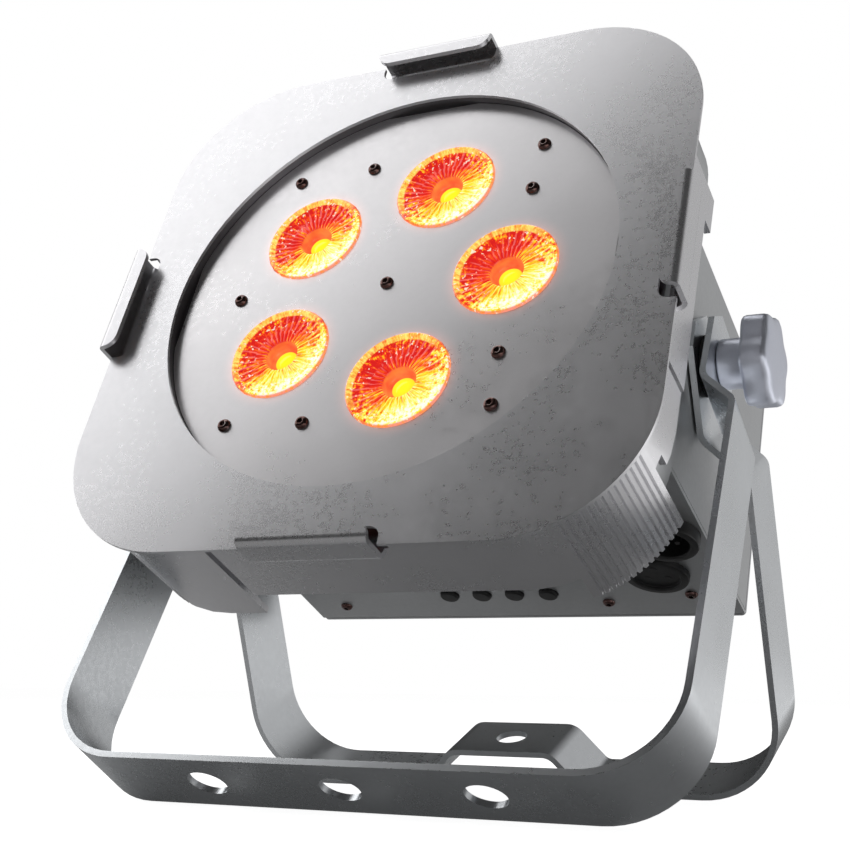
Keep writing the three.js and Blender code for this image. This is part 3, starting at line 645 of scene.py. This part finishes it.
def make_socket(name, at, stand, pins):
    x, z = at
    floor_level = stand - 9 if pins else stand - 1.6
    shape = Shape(HEAD)
    shape.revolve([
        (0, floor_level), (CAVITY_RADIUS - 0.4, floor_level), (CAVITY_RADIUS, floor_level + 0.4),
        (CAVITY_RADIUS, stand - 0.7), (CAVITY_RADIUS + 0.6, stand), (FLANGE_RADIUS - 1.3, stand),
        (FLANGE_RADIUS - 0.4, stand - 0.35), (FLANGE_RADIUS, stand - 1.2), (FLANGE_RADIUS, 0.3),
        (BODY_RADIUS, 0.3), (BODY_RADIUS, -14), (0, -14),
    ], 72, under_panel(x, z))
    for degrees in CONTACT_ANGLES:
        a = CONTACT_RING * math.cos(math.radians(degrees))
        b = CONTACT_RING * math.sin(math.radians(degrees))
        top = stand - 2.2 if pins else stand - 1.35
        width = 1.2 if pins else 1.9
        root = floor_level - 0.2
        contact = [(0, root), (width, root), (width, top - 0.4), (width - 0.4, top), (0, top)]
        shape.revolve(contact, 20, under_panel(x + a, z + b))
    shape.finish(f"{name}_body", MATERIALS["black_plastic"], "black_plastic", "head", [name])


# ---------------------------------------------------------------- pieces, and the CAD nodes that stay

make_lenses()
make_screws()
make_knob("knob_left", -1)
make_knob("knob_right", 1)
for socket_name, socket_values in SOCKETS.items():
    make_socket(socket_name, **socket_values)

EDGE_WIDTH = 0.22
EDGE_WIDTHS = {"front_yoke": 0.5, "rear_yoke": 0.5}
OWN_MATERIALS = {"lens_panel": panel_material()}
for node, piece in frame["nodes"].items():
    material = OWN_MATERIALS.get(node, MATERIALS[SLOT_OF_NODE[node]])
    for held in piece.material_slots:
        held.link = "OBJECT"
        held.material = material
    soften(piece, EDGE_WIDTHS.get(node, EDGE_WIDTH))

# ---------------------------------------------------------------- stage, light and camera

FLOOR_SIZE = 12.0
# The floor also works as a reflector card to the right of the object.
CARD_FROM = 0.14
CARD_TO = 0.5
CARD_STRENGTH = 0.95
UNDER_STRENGTH = 0.045


def make_floor():
    mesh = bpy.data.meshes.new("floor")
    half = FLOOR_SIZE / 2
    corners = [(-half, -half, 0), (half, -half, 0), (half, half, 0), (-half, half, 0)]
    mesh.from_pydata(corners, [], [(0, 1, 2, 3)])
    floor = bpy.data.objects.new("floor", mesh)
    bpy.context.scene.collection.objects.link(floor)
    nodes = Nodes("pale_floor")
    seen = nodes.add("ShaderNodeLightPath").outputs["Is Camera Ray"]
    paper = nodes.add("ShaderNodeBsdfDiffuse", {"Color": grey(0.75)}).outputs[0]
    glow = nodes.add("ShaderNodeEmission", {"Color": grey(1.0), "Strength": 0.93}).outputs[0]
    lit = nodes.add("ShaderNodeAddShader")
    nodes.put(lit.inputs[0], paper)
    nodes.put(lit.inputs[1], glow)
    bounce = nodes.add("ShaderNodeBsdfDiffuse", {"Color": grey(0.5)}).outputs[0]
    where = nodes.add("ShaderNodeTexCoord").outputs["Object"]
    x = nodes.add("ShaderNodeSeparateXYZ", {"Vector": where}).outputs[0]
    card = nodes.remap(x, CARD_FROM, CARD_TO, UNDER_STRENGTH, CARD_STRENGTH)
    shine = nodes.add("ShaderNodeEmission", {"Color": grey(1.0), "Strength": card}).outputs[0]
    under = nodes.add("ShaderNodeAddShader")
    nodes.put(under.inputs[0], bounce)
    nodes.put(under.inputs[1], shine)
    choose = nodes.add("ShaderNodeMixShader", {"Fac": seen})
    nodes.put(choose.inputs[1], under.outputs[0])
    nodes.put(choose.inputs[2], lit.outputs[0])
    mesh.materials.append(nodes.finish(choose.outputs[0]))


WORLD_LOBE = (0.6, 0.78, 0.17)


def make_world():
    """White to the camera. As light it is bright in one soft lobe, behind to the right, and dim elsewhere."""
    world = bpy.data.worlds.new("studio")
    bpy.context.scene.world = world
    world.use_nodes = True
    tree = world.node_tree
    tree.nodes.clear()

    def add(kind, **settings):
        node = tree.nodes.new(kind)
        for key, value in settings.items():
            setattr(node, key, value)
        return node

    where = add("ShaderNodeTexCoord")
    lean = add("ShaderNodeVectorMath", operation="DOT_PRODUCT")
    tree.links.new(where.outputs["Generated"], lean.inputs[0])
    lean.inputs[1].default_value = WORLD_LOBE
    strength = add("ShaderNodeMapRange", interpolation_type="SMOOTHSTEP")
    for key, value in {"From Min": 0.55, "From Max": 0.95, "To Min": 0.035, "To Max": 0.47}.items():
        strength.inputs[key].default_value = value
    tree.links.new(lean.outputs["Value"], strength.inputs["Value"])
    path = add("ShaderNodeLightPath")
    choose = add("ShaderNodeMix", data_type="FLOAT")
    tree.links.new(path.outputs["Is Camera Ray"], choose.inputs[0])
    tree.links.new(strength.outputs[0], choose.inputs[2])
    choose.inputs[3].default_value = 1.0
    background = add("ShaderNodeBackground")
    background.inputs["Color"].default_value = grey(1.0)
    tree.links.new(choose.outputs[0], background.inputs["Strength"])
    output = add("ShaderNodeOutputWorld")
    tree.links.new(background.outputs[0], output.inputs[0])


def make_softbox(name, towards, edge, distance, width, height, watts):
    """A rectangular light that faces the object. Its width runs along edge."""
    lamp = bpy.data.lights.new(name, "AREA")
    lamp.shape = "RECTANGLE"
    lamp.size = width
    lamp.size_y = height
    lamp.energy = watts
    light = bpy.data.objects.new(name, lamp)
    bpy.context.scene.collection.objects.link(light)
    back = Vector(towards).normalized()
    across = (Vector(edge) - back * Vector(edge).dot(back)).normalized()
    matrix = Matrix((across, back.cross(across), back)).transposed().to_4x4()
    matrix.translation = OBJECT_CENTRE + back * distance
    light.matrix_world = matrix


OBJECT_CENTRE = (cad_box[0] + cad_box[1]) / 2
KEY_LIGHT = dict(
    towards=(-0.645, -0.035, 0.763),
    edge=(0.70, 0.39, 0.595),
    distance=1.5,
    width=2.4,
    height=1.3,
    watts=13.9,
)
CAMERA_AT = Vector((0.2689, -0.56766, 0.0472))
CAMERA_LOOKS_AT = Vector((0.01157, -0.05026, 0.1500))
CAMERA_ROLL = math.radians(0.70)
CAMERA_LENS = 61.77


def make_camera():
    data = bpy.data.cameras.new("camera")
    data.lens = CAMERA_LENS
    data.sensor_width = 36.0
    data.clip_start = 0.01
    camera = bpy.data.objects.new("camera", data)
    bpy.context.scene.collection.objects.link(camera)
    aim = (CAMERA_LOOKS_AT - CAMERA_AT).to_track_quat("-Z", "Y").to_matrix().to_4x4()
    camera.matrix_world = Matrix.Translation(CAMERA_AT) @ aim @ Matrix.Rotation(CAMERA_ROLL, 4, "Z")
    bpy.context.scene.camera = camera


make_floor()
make_world()
make_softbox("key", **KEY_LIGHT)
make_camera()
bpy.context.scene.view_settings.view_transform = "Standard"
